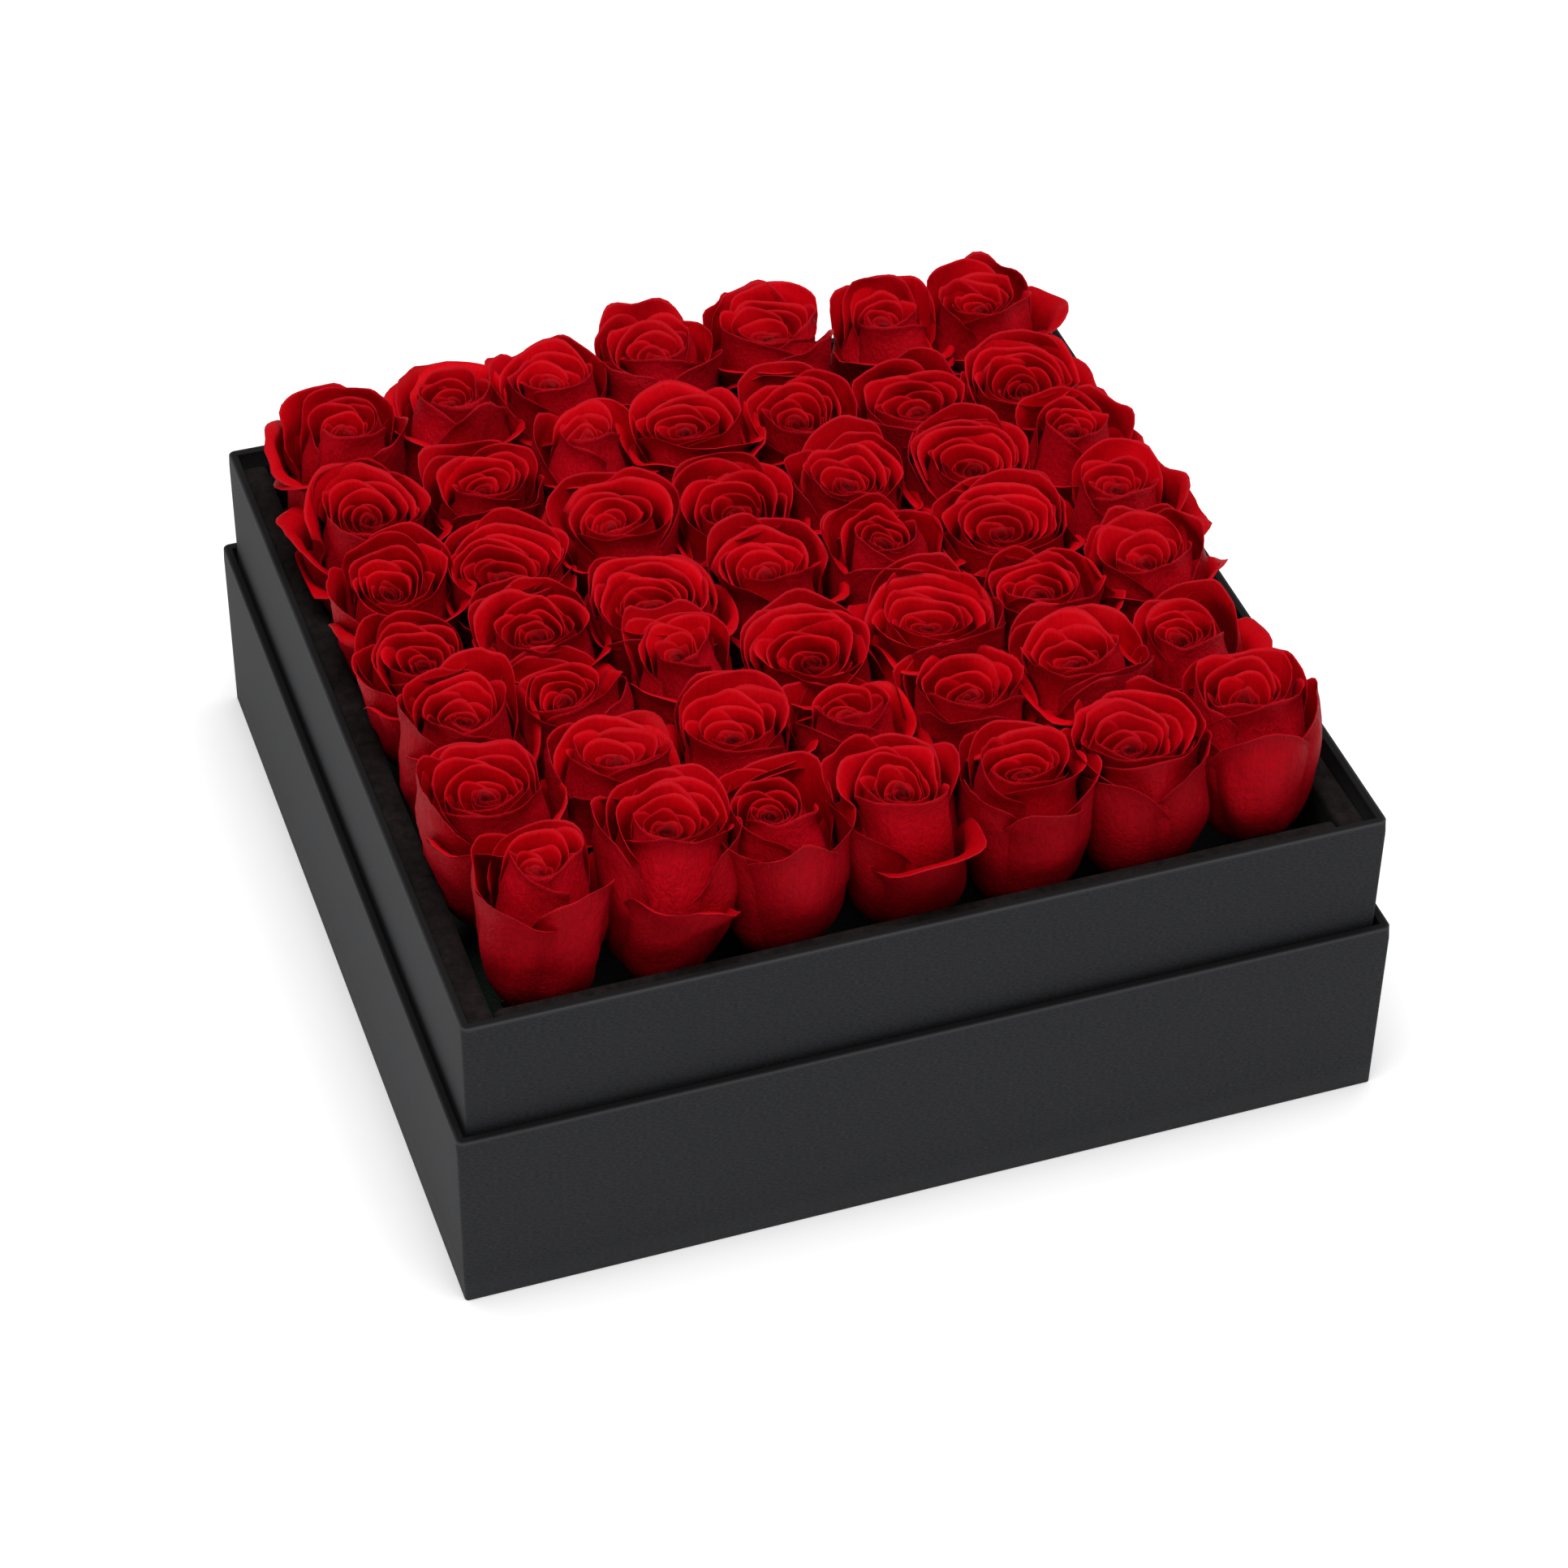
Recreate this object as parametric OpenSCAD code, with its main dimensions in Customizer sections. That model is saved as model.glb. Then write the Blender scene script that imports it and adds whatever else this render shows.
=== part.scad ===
// Square gift box of long-lasting cut roses, standing in its own upturned lid.
// Millimetres, +Z up, origin at the middle of the surface that the lid rests on.

/* [Lid] */
// Outer width and depth of the square lid
lid_w = 330; // [220:1:420]
// Outer height of the lid
lid_h = 74; // [40:1:100]

/* [Box] */
// Clearance all round between the box and the inside of the lid
box_gap = 1.4; // [0.8:0.1:3]
// Outer height of the box
box_h = 117; // [90:1:160]

/* [Card and paper] */
// Thickness of the black board in the lid and the box
board_t = 2.5; // [1.5:0.1:4]
// Thickness of the ribbed covering paper with its glue
paper_t = 0.3; // [0.2:0.05:0.6]
// Depth of the paper turned in over the rim
turn_in = 20; // [8:1:30]
// Outer radius of the upright corners
corner_r = 2; // [1:0.5:6]

/* [Velvet lining] */
// Thickness of the velvet-covered wall panels
lining_t = 10; // [4:0.5:15]
// How far the velvet panels stop below the rim of the box
lining_drop = 5.5; // [2:0.5:12]
// Thickness of the lining card on the floor
floor_card_t = 0.5; // [0.3:0.1:2]
// Clearance between a velvet panel and what is beside it
lining_gap = 0.3; // [0.1:0.1:1]

/* [Waterproof tray] */
// Clearance all round between the tray and the velvet panels
tray_gap = 1; // [0.5:0.1:3]
// Wall thickness of the tray
tray_t = 0.8; // [0.5:0.1:2]
// Height of the tray's rim above the foam
tray_lip = 5; // [2:0.5:12]

/* [Flower foam] */
// Longest piece that a foam brick can give
brick_l = 230; // [180:5:260]
// Width of a foam brick
brick_w = 110; // [80:5:130]
// Gap between neighbouring pieces of foam and the tray
foam_gap = 0.5; // [0.2:0.1:2]

/* [Roses] */
// Roses along each side
rose_rows = 7; // [3:1:7]
// Diameter of a stem
stem_d = 6; // [4:0.5:8]
// Depth that the stems are pushed into the foam
stem_depth = 45; // [25:1:48]
// Bare stem left between the foam and the base of a middling head
neck_h = 9; // [5:1:25]
// Height of a rose head from its base to its petal tips
head_h = 58; // [40:1:70]
// How far a middling rose stands above the rim of the box
head_proud = 30; // [15:1:40]
// Gap left between two of the largest heads
head_gap = 0.8; // [0.4:0.1:3]
// Step in diameter from one size of head to the next smaller one
head_step = 3; // [1:0.5:4]

/* [Hidden] */
$fn = 96;
eps = 1;                                    // overshoot of a cutting solid

wall_t = board_t + 2 * paper_t;             // board with paper on both faces
base_t = board_t + paper_t;                 // board with paper on its outer face
box_w = lid_w - 2 * wall_t - 2 * box_gap;
rim_z = base_t + box_h;
box_floor_z = 2 * base_t;
lining_z = box_floor_z + floor_card_t;
lining_top_z = rim_z - lining_drop;
lining_outer_w = box_w - 2 * wall_t - 2 * lining_gap;
well_w = lining_outer_w - 2 * lining_t;     // clear width between the velvet panels
tray_w = well_w - 2 * tray_gap;
foam_z = lining_z + tray_t;
foam_w = tray_w - 2 * tray_t - 2 * foam_gap;
pitch = well_w / rose_rows;
head_base_z = rim_z + head_proud - head_h;  // base of a middling head
foam_top_z = head_base_z - neck_h;
stem_foot_z = foam_top_z - stem_depth;

// Size of each head: 0 is the largest and each step is one size smaller.
// One line a row from the front, each row from left to right.
size_plan = [
    [1, 0, 1, 1, 1, 0, 0],
    [0, 0, 1, 2, 0, 0, 2],
    [1, 1, 2, 0, 0, 1, 1],
    [1, 1, 0, 1, 1, 0, 1],
    [1, 0, 0, 0, 1, 0, 2],
    [0, 2, 2, 0, 1, 0, 0],
    [1, 1, 1, 1, 0, 2, 1]];

// How many millimetres each head stands above or below the middling height
rise_plan = [
    [0, 3, 1, 2, 0, 1, 5],
    [0, 1, 2, -1, 0, 3, 1],
    [0, -2, 3, -1, 1, 1, 3],
    [-2, -2, 0, 0, 2, 0, 2],
    [-2, -3, 2, 0, 0, -1, 0],
    [-1, -1, 2, 3, 0, -2, 1],
    [1, 1, 2, 4, 4, 0, 2]];

function rose_name(row, col) = str("rose_", row, "_", col);
function planned(plan, row, col) = plan[row - 1][col - 1];
function rose_x(col) = (col - (rose_rows + 1) / 2) * pitch;
function head_d(row, col) = pitch - head_gap - head_step * planned(size_plan, row, col);
function head_z(row, col) = head_base_z + planned(rise_plan, row, col);

// Square prism with rounded upright corners, standing on z
module rounded_block(w, r, z, h) {
    translate([0, 0, z]) linear_extrude(h) {
        square([w - 2 * r, w], center = true);
        square([w, w - 2 * r], center = true);
        for (sx = [-1, 1], sy = [-1, 1])
            translate([sx, sy] * (w / 2 - r)) circle(r);
    }
}

// Square prism with sharp corners, standing on z
module square_block(w, z, h) {
    translate([-w / 2, -w / 2, z]) cube([w, w, h]);
}

// Grey board tray under its covering paper: outer width w, from z to the rim
module board_tray(w, z, rim) {
    difference() {
        rounded_block(w - 2 * paper_t, corner_r - paper_t, z + paper_t, rim - z - 2 * paper_t);
        square_block(w - 2 * paper_t - 2 * board_t, z + base_t, rim - z);
    }
}

// Flat sheet of covering paper under a board tray
module flat_sheet(w, z) {
    rounded_block(w - 2 * paper_t, corner_r - paper_t, z, paper_t);
}

// Covering paper round the walls, over the rim and a little way down the inside
module side_wrap(w, z, rim) {
    board_w = w - 2 * paper_t;
    inner_w = w - 2 * wall_t;
    difference() {
        rounded_block(w, corner_r, z, rim - z);
        rounded_block(board_w, corner_r - paper_t, z - eps, rim - paper_t - z + eps);
        square_block(inner_w, z - eps, rim - z + 2 * eps);
    }
    difference() {
        square_block(board_w - 2 * board_t, rim - turn_in, turn_in);
        square_block(inner_w, rim - turn_in - eps, turn_in + 2 * eps);
    }
}

module lid_board() color("#1c1c1d") board_tray(lid_w, 0, lid_h);
module lid_side_wrap() color("#2a2a2c") side_wrap(lid_w, 0, lid_h);
module lid_top_sheet() color("#2a2a2c") flat_sheet(lid_w, 0);

module box_board() color("#1c1c1d") board_tray(box_w, base_t, rim_z);
module box_side_wrap() color("#2a2a2c") side_wrap(box_w, base_t, rim_z);
module box_base_sheet() color("#2a2a2c") flat_sheet(box_w, base_t);

// Left and right velvet-covered board panels, the full depth of the box
module side_linings() color("#161414") {
    for (side = [-1, 1])
        translate([side * (lining_outer_w - lining_t) / 2, 0, (lining_z + lining_top_z) / 2])
            cube([lining_t, lining_outer_w, lining_top_z - lining_z], center = true);
}

// Front and back velvet-covered board panels, standing between the side panels
module end_linings() color("#161414") {
    for (side = [-1, 1])
        translate([0, side * (lining_outer_w - lining_t) / 2, (lining_z + lining_top_z) / 2])
            cube([well_w - 2 * lining_gap, lining_t, lining_top_z - lining_z], center = true);
}

module floor_lining() color("#161414") square_block(lining_outer_w, box_floor_z, floor_card_t);

// Thin tray that keeps the water of the wet foam off the card
module liner_tray() color("#101112") {
    difference() {
        square_block(tray_w, lining_z, foam_top_z + tray_lip - lining_z);
        square_block(tray_w - 2 * tray_t, foam_z, foam_top_z + tray_lip - foam_z + eps);
    }
}

// Bricks of wet foam cut to fill the tray, with a hole for each stem.
// The bricks lie in strips from front to back, and each strip is cut between two columns of stems.
strip_count = ceil(foam_w / brick_w);
cut_x = floor((brick_l - foam_w / 2) / pitch) * pitch - (rose_rows % 2 == 0 ? 0 : pitch / 2);
module foam_blocks() color("#234a2c") {
    difference() {
        for (strip = [0:strip_count - 1]) {
            front = -foam_w / 2 + strip * brick_w;
            depth = min(brick_w, foam_w / 2 - front) - (strip < strip_count - 1 ? foam_gap : 0);
            translate([-foam_w / 2, front, foam_z])
                cube([foam_w / 2 + cut_x - foam_gap / 2, depth, foam_top_z - foam_z]);
            translate([cut_x + foam_gap / 2, front, foam_z])
                cube([foam_w / 2 - cut_x - foam_gap / 2, depth, foam_top_z - foam_z]);
        }
        for (row = [1:rose_rows], col = [1:rose_rows])
            translate([rose_x(col), rose_x(row), stem_foot_z])
                cylinder(d = stem_d, h = stem_depth + eps);
    }
}

// One cut rose: a stem that stands in the foam under an egg-shaped head.
// The head's outline is half an ellipse whose sides are filled out a little.
module rose(row, col) color("#c4081a") {
    d = head_d(row, col);
    z = head_z(row, col);
    fullness = 0.8;
    join_a = asin(pow(stem_d / d, 1 / fullness));
    outline = [for (i = [0:10]) let (a = join_a + (180 - join_a) * i / 10)
        [max(d / 2 * pow(sin(a), fullness), 0), z + head_h / 2 * (1 - cos(a))]];
    translate([rose_x(col), rose_x(row), 0])
        rotate_extrude()
            polygon(concat([[0, stem_foot_z], [stem_d / 2, stem_foot_z]], outline));
}

lid_board();
lid_side_wrap();
lid_top_sheet();
box_board();
box_side_wrap();
box_base_sheet();
side_linings();
end_linings();
floor_lining();
liner_tray();
foam_blocks();
for (row = [1:rose_rows], col = [1:rose_rows])
    rose(row, col);
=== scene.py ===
# Looks of a square flower box of red roses that stands in its own upturned lid.
# Lengths in the dictionaries are in millimetres unless a note says otherwise.
import math
import bmesh
import bpy
import numpy as np
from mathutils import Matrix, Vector


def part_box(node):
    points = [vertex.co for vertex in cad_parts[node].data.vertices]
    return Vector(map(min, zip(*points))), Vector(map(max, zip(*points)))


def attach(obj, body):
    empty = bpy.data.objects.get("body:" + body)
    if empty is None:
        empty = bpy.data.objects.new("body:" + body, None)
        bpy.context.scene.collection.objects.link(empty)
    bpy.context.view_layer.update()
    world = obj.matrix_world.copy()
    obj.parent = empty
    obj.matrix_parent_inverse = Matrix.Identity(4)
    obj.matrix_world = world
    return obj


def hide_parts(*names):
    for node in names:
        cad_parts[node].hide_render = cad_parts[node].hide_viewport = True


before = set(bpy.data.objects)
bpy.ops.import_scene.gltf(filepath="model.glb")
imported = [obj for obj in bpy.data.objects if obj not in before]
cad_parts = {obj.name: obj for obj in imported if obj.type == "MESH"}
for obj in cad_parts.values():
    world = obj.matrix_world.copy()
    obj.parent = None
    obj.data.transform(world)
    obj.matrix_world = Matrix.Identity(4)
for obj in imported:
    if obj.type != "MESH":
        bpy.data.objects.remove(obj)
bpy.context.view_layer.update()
mm = 0.001
print("frame loaded")


def linearColour(hexCode):
    # sRGB hex to linear RGBA
    channels = [int(hexCode[i:i + 2], 16) / 255 for i in (1, 3, 5)]
    return [c / 12.92 if c <= 0.04045 else ((c + 0.055) / 1.055) ** 2.4 for c in channels] + [1.0]


def addNode(tree, kind, links=None, values=None, **settings):
    # one shader node: settings are its properties, values its fixed sockets, links its sockets fed by others
    node = tree.nodes.new(kind)
    for name, value in settings.items():
        setattr(node, name, value)
    for socket, value in (values or {}).items():
        node.inputs[socket].default_value = value
    for socket, source in (links or {}).items():
        tree.links.new(source, node.inputs[socket])
    return node


# The next helpers each add one node, or a chain of one kind, and give back its output.

def coordinates(tree, kind):
    return addNode(tree, "ShaderNodeTexCoord").outputs[kind]


def stretched(tree, vector, values):
    return addNode(tree, "ShaderNodeMapping", {"Vector": vector}, values).outputs["Vector"]


def noiseAt(tree, vector, values):
    return addNode(tree, "ShaderNodeTexNoise", {"Vector": vector}, values).outputs["Fac"]


def ribsAt(tree, vector, pitch, values):
    # bands along Y, pitch millimetres apart: the node turns 20 radians a metre for each unit of scale
    values = {"Scale": math.tau / 20 / (pitch * mm), **values}
    return addNode(tree, "ShaderNodeTexWave", {"Vector": vector}, values, wave_type="BANDS",
                   bands_direction="Y").outputs["Fac"]


def spread(tree, value, span, onto):
    # the stretch span of a value laid evenly onto another stretch, and held at its ends
    return addNode(tree, "ShaderNodeMapRange", {"Value": value}, {
        "From Min": span[0], "From Max": span[1], "To Min": onto[0], "To Max": onto[1]}).outputs["Result"]


def product(tree, value, *factors):
    for factor in factors:
        value = addNode(tree, "ShaderNodeMath", {0: value, 1: factor}, operation="MULTIPLY").outputs["Value"]
    return value


def toneMix(tree, factor, first, second):
    # two colours mixed, each an output or a hex code
    node = addNode(tree, "ShaderNodeMix", {"Factor": factor}, data_type="RGBA")
    for socket, colour in (("A", first), ("B", second)):
        if isinstance(colour, str):
            node.inputs[socket].default_value = linearColour(colour)
        else:
            tree.links.new(colour, node.inputs[socket])
    return node.outputs["Result"]


def toneRamp(tree, factor, first, second):
    # a ramp between two colours, each a pair of its place and its hex code
    node = addNode(tree, "ShaderNodeValToRGB", {"Fac": factor})
    for stop, (place, hexCode) in zip(node.color_ramp.elements, (first, second)):
        stop.position = place
        stop.color = linearColour(hexCode)
    return node.outputs["Color"]


def bumpFrom(tree, height, strength, distance, under=None):
    # strength is a number or an output, distance in millimetres, and under a normal that the bump adds to
    links, values = {"Height": height}, {"Distance": distance * mm}
    if isinstance(strength, float):
        values["Strength"] = strength
    else:
        links["Strength"] = strength
    if under is not None:
        links["Normal"] = under
    return addNode(tree, "ShaderNodeBump", links, values).outputs["Normal"]


def newMaterial(name, values):
    # a Principled material with its fixed sockets set
    material = bpy.data.materials.new(name)
    material.use_nodes = True
    shader = material.node_tree.nodes["Principled BSDF"]
    for socket, value in values.items():
        shader.inputs[socket].default_value = value
    return material, material.node_tree, shader


def feed(tree, shader, colour=None, normal=None):
    for socket, source in (("Base Color", colour), ("Normal", normal)):
        if source is not None:
            tree.links.new(source, shader.inputs[socket])


def meshObject(name, points, faces, materials, faceSlots=None, pointData=None, dataName="petal", uvs=None):
    # Points in metres, faces as a list of index arrays with one face a row, pointData as RGBA of each point.
    mesh = bpy.data.meshes.new(name)
    mesh.vertices.add(len(points))
    mesh.vertices.foreach_set("co", np.asarray(points, float).ravel())
    corners = np.concatenate([f.ravel() for f in faces])
    sizes = np.concatenate([np.full(len(f), f.shape[1]) for f in faces])
    mesh.loops.add(len(corners))
    mesh.loops.foreach_set("vertex_index", corners)
    mesh.polygons.add(len(sizes))
    mesh.polygons.foreach_set("loop_start", np.concatenate([[0], np.cumsum(sizes)[:-1]]))
    mesh.polygons.foreach_set("loop_total", sizes)
    mesh.polygons.foreach_set("use_smooth", np.full(len(sizes), True))
    if faceSlots is not None:
        mesh.polygons.foreach_set("material_index", faceSlots)
    mesh.update(calc_edges=True)
    if pointData is not None:
        layer = mesh.color_attributes.new(dataName, "FLOAT_COLOR", "POINT")
        layer.data.foreach_set("color", np.asarray(pointData, float).ravel())
    if uvs is not None:
        layer = mesh.uv_layers.new(name="surface")
        layer.data.foreach_set("uv", np.asarray(uvs, float)[corners].ravel())
    for material in materials:
        mesh.materials.append(material)
    mesh.validate()
    piece = bpy.data.objects.new(name, mesh)
    bpy.context.collection.objects.link(piece)
    return piece


# The camera's roll is in degrees, and its focal length is for a sensor 36 mm wide.
viewPoint = dict(place=(-382.2, -1091.6, 1057.2), aim=(-25.5, -79.9, 120), roll=0.872, focal=97.15, sensor=36)
camera = bpy.data.objects.new("camera", bpy.data.cameras.new("camera"))
bpy.context.collection.objects.link(camera)
camera.location = Vector(viewPoint["place"]) * mm
sight = Vector(viewPoint["aim"]) - Vector(viewPoint["place"])
camera.rotation_euler = sight.to_track_quat("-Z", "Y").to_euler()
camera.rotation_euler.rotate_axis("Z", math.radians(viewPoint["roll"]))
camera.data.lens = viewPoint["focal"]
camera.data.sensor_width = viewPoint["sensor"]
camera.data.clip_end = 50
bpy.context.scene.camera = camera

# The floor glows a little, so that the shadows on it stay pale.
studio = dict(
    floorHalf=6000, floorDrop=0.2, floorTone="#f4f4f4", floorGlow=0.19, sky=0.38, lightAim=(0, 0, 100),
    softboxes=dict(
        overhead=dict(place=(-60, -160, 1850), size=1400, watts=34),
        left=dict(place=(-1900, -350, 560), size=900, watts=1.2),
    ),
)
floorMaterial = newMaterial("paleStudioFloor", {
    "Base Color": linearColour(studio["floorTone"]), "Roughness": 0.9, "Specular IOR Level": 0.1,
    "Emission Color": (1, 1, 1, 1), "Emission Strength": studio["floorGlow"]})[0]
half, drop = studio["floorHalf"] * mm, studio["floorDrop"] * mm
floorCorners = [(x * half, y * half, -drop) for x, y in ((-1, -1), (1, -1), (1, 1), (-1, 1))]
floor = meshObject("studioFloor", floorCorners, [np.array([[0, 1, 2, 3]])], [floorMaterial])
for name, box in studio["softboxes"].items():
    lamp = bpy.data.lights.new(name + "Softbox", "AREA")
    lamp.shape = "SQUARE"
    lamp.size = box["size"] * mm
    lamp.energy = box["watts"]
    light = bpy.data.objects.new(name + "Softbox", lamp)
    bpy.context.collection.objects.link(light)
    light.location = Vector(box["place"]) * mm
    light.rotation_mode = "QUATERNION"
    light.rotation_quaternion = (Vector(studio["lightAim"]) * mm - light.location).to_track_quat("-Z", "Y")
world = bpy.data.worlds.new("studioAir")
world.use_nodes = True
background = world.node_tree.nodes["Background"]
background.inputs["Color"].default_value = (1, 1, 1, 1)
background.inputs["Strength"].default_value = studio["sky"]
bpy.context.scene.world = world
bpy.context.scene.view_settings.view_transform = "Standard"
print("camera, floor and light made")

# Laid covering paper, dyed black in the pulp and pressed with fine parallel ribs: dull, with a soft
# grey sheen where light grazes the ribs. Painted shade darkens the fold over the rim, and a painted
# highlight makes the edge of the fold a little paler: the point attribute holds the painted highlight in
# red and the painted shade in green.
ribPitch = 0.55
ribbedPaper, tree, shader = newMaterial("ribbedBlackPaper", {
    "Roughness": 0.74, "IOR": 1.5, "Specular IOR Level": 0.15, "Sheen Weight": 0.02, "Sheen Roughness": 0.4,
    "Sheen Tint": linearColour("#b4b6bb")})
sheet = coordinates(tree, "UV")
paintedLight = addNode(tree, "ShaderNodeAttribute", attribute_name="paintedLight")
paintedLightParts = addNode(tree, "ShaderNodeSeparateColor", {"Color": paintedLight.outputs["Color"]}).outputs
ribs = ribsAt(tree, sheet, ribPitch, {"Distortion": 1.2, "Detail": 2.0, "Detail Scale": 1.5})
threads = noiseAt(tree, stretched(tree, sheet, {"Scale": (650, 2300, 1)}), {"Scale": 1, "Detail": 3})
clouds = noiseAt(tree, coordinates(tree, "Object"), {"Scale": 22, "Detail": 5})
relief = product(tree, spread(tree, ribs, (0, 1), (0.35, 1.0)), spread(tree, threads, (0.3, 0.7), (0.1, 1.0)))
ribTone = toneMix(tree, relief, toneMix(tree, clouds, "#151516", "#1a1a1b"), "#37383b")
# painted shade: the fold over the rim made nearly black
paintedFoldShade = toneMix(tree, paintedLightParts["Green"], ribTone, "#0c0c0c")
# painted highlight: a paler line along the edge of the fold
paintedEdgeHighlight = toneMix(tree, paintedLightParts["Red"], paintedFoldShade, "#3c3c3e")
feed(tree, shader, paintedEdgeHighlight, bumpFrom(tree, relief, 0.5, 0.12))

# The same paper on the flat sheets that keep their own shape, ribbed by their place.
flatPaper, tree, shader = newMaterial("ribbedBlackPaperFlat", {
    "Base Color": linearColour("#19191a"), "Roughness": 0.6, "Specular IOR Level": 0.15})
ribs = ribsAt(tree, coordinates(tree, "Object"), ribPitch, {"Distortion": 0.6, "Detail": 2.0})
feed(tree, shader, normal=bumpFrom(tree, ribs, 0.25, 0.05))

# Black-dyed board, calendered and uncoated: dark grey, dull and a little mottled.
blackBoard, tree, shader = newMaterial("blackCoreBoard", {"Roughness": 0.85, "Specular IOR Level": 0.3})
mottle = noiseAt(tree, coordinates(tree, "Object"), {"Scale": 260, "Detail": 6})
feed(tree, shader, toneRamp(tree, mottle, (0, "#1a1a1b"), (1, "#2b2a2a")), bumpFrom(tree, mottle, 0.3, 0.1))

# Black velvet: short upright pile glued to board. Almost no light comes back face on, and the tips of
# the pile give a faint warm grey where they are seen from the side.
velvet, tree, shader = newMaterial("blackVelvet", {
    "Roughness": 0.95, "Specular IOR Level": 0.1, "Sheen Weight": 0.3, "Sheen Roughness": 0.3,
    "Sheen Tint": linearColour("#5a5252")})
place = coordinates(tree, "Object")
pile = noiseAt(tree, place, {"Scale": 1500, "Detail": 3})
brushed = noiseAt(tree, place, {"Scale": 240, "Detail": 8, "Roughness": 0.7})
pileTone = toneRamp(tree, brushed, (0.35, "#0f0c0c"), (0.68, "#231d1c"))
feed(tree, shader, pileTone, bumpFrom(tree, pile, 0.9, 0.4))

# Rose petals: a waxy skin of tiny domed cells over red sap. Face on the red is deep and pure, at a
# slant the cells give a velvety pink bloom, and light that enters a petal comes out a millimetre away.
# The petal attribute holds the rim in red, the petal's own tone in green, the inner face in blue and the
# place from the heart (0) to the outermost petal (1) in alpha. UV runs across and along the petal.
petalSkin, tree, shader = newMaterial("redRosePetal", {
    "Roughness": 0.55, "IOR": 1.42, "Specular IOR Level": 0.055, "Sheen Weight": 0.03, "Sheen Roughness": 0.4,
    "Sheen Tint": linearColour("#ff3c64"), "Subsurface Weight": 0.2, "Subsurface Scale": 0.0008,
    "Subsurface Radius": (1.0, 0.1, 0.05)})
data = addNode(tree, "ShaderNodeAttribute", attribute_name="petal").outputs
parts = addNode(tree, "ShaderNodeSeparateColor", {"Color": data["Color"]}).outputs
rim, ownTone, inside, outwards = parts["Red"], parts["Green"], parts["Blue"], data["Alpha"]
sheet, place = coordinates(tree, "UV"), coordinates(tree, "Object")
along = addNode(tree, "ShaderNodeSeparateXYZ", {"Vector": sheet}).outputs["Y"]
veins = noiseAt(tree, stretched(tree, sheet, {"Scale": (26, 2.2, 1)}), {"Scale": 1.0, "Detail": 3})
creaseSpace = stretched(tree, sheet, {"Scale": (12, 17, 1), "Rotation": (0, 0, 0.5)})
creases = noiseAt(tree, creaseSpace, {"Scale": 1.0, "Detail": 5, "Distortion": 1.6})
cells = noiseAt(tree, place, {"Scale": 1500, "Detail": 2})
mottle = noiseAt(tree, place, {"Scale": 420, "Detail": 4})
# painted shade makes these darker: the heart, the depth between inner faces, the lips, and the outermost
# petals
depth = spread(tree, along, (0.6, 0.92), (0.5, 1.0))
# own tone, veins and mottle are the petals' own colour, and the other shares are painted shade
shares = [
    spread(tree, ownTone, (0, 1), (0.86, 1.12)), spread(tree, veins, (0.3, 0.7), (0.87, 1.07)),
    spread(tree, outwards, (0, 0.4), (0.15, 1.0)),
    addNode(tree, "ShaderNodeMix", {"Factor": inside, "B": depth}, {"A": 1.0}).outputs["Result"],
    spread(tree, along, (0.88, 1.0), (1.0, 0.8)), spread(tree, outwards, (0.72, 0.95), (1.0, 0.78)),
    spread(tree, mottle, (0.3, 0.7), (0.93, 1.06)),
]
red = toneMix(tree, inside, "#b40315", "#cf0010")
toned = addNode(tree, "ShaderNodeVectorMath", {0: red, "Scale": product(tree, *shares)}, operation="SCALE")
rimTone = toneMix(tree, product(tree, rim, outwards), toned.outputs["Vector"], "#a8101e")
bump = bumpFrom(tree, veins, 0.3, 0.4)
bump = bumpFrom(tree, creases, spread(tree, inside, (0, 1), (0.8, 0.15)), 0.9, bump)
feed(tree, shader, rimTone, bumpFrom(tree, cells, 0.2, 0.06, bump))

# Stems, calyx and sepals: living green skin, waxy and slightly streaked along the stem.
roseGreen, tree, shader = newMaterial("roseStemGreen", {
    "Roughness": 0.45, "IOR": 1.42, "Subsurface Weight": 0.1, "Subsurface Scale": 0.001})
streakSpace = stretched(tree, coordinates(tree, "Object"), {"Scale": (900, 900, 60)})
streaks = noiseAt(tree, streakSpace, {"Scale": 1, "Detail": 3})
feed(tree, shader, toneRamp(tree, streaks, (0, "#2f4a20"), (1, "#5f7d3a")))

# Phenolic flower foam, soaked: a brittle open foam of cells about a millimetre wide, dull wet green, taken
# nearly to black by painted shade for the deep gaps between the heads.
flowerFoam, tree, shader = newMaterial("wetFlowerFoamPaintedShade", {"Roughness": 0.7, "Specular IOR Level": 0.4})
foam = addNode(tree, "ShaderNodeTexVoronoi", {"Vector": coordinates(tree, "Object")}, {"Scale": 900})
wall = foam.outputs["Distance"]
feed(tree, shader, toneRamp(tree, wall, (0, "#08120a"), (1, "#132b19")), bumpFrom(tree, wall, 0.6, 0.4))

# Polystyrene sheet, vacuum-formed: black, satin, with faint drawing marks.
trayPlastic, tree, shader = newMaterial("blackFormedPolystyrene", {
    "Base Color": linearColour("#141416"), "Roughness": 0.34, "IOR": 1.59})
marks = noiseAt(tree, coordinates(tree, "Object"), {"Scale": 120, "Detail": 2})
feed(tree, shader, normal=bumpFrom(tree, marks, 0.15, 0.1))
print("materials made")

# Covering paper on the walls of the lid and the box, and the board under it. The corner radius eases over
# topDrop below the rim. rimBand and innerBand have closer rings. The painted highlight on the paler edge
# and the painted shade on the darker fold are placed by their distance in from the outer face and by how
# far below the rim they reach.
paper = dict(
    thickness=0.3, wall=3.1, turnIn=20, cornerRadius=1.4, topCornerRadius=2.6, leastRadius=0.15, topDrop=6,
    edgeRadius=0.38, rimBand=8, innerBand=7, rimPoints=(1.2, 1.9), boardRings=(7, 3.5, 0),
    paintedLight=dict(middle=0.12, width=0.22, reach=0.6), fold=dict(start=0.3, width=0.3, reach=1.5),
)


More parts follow.
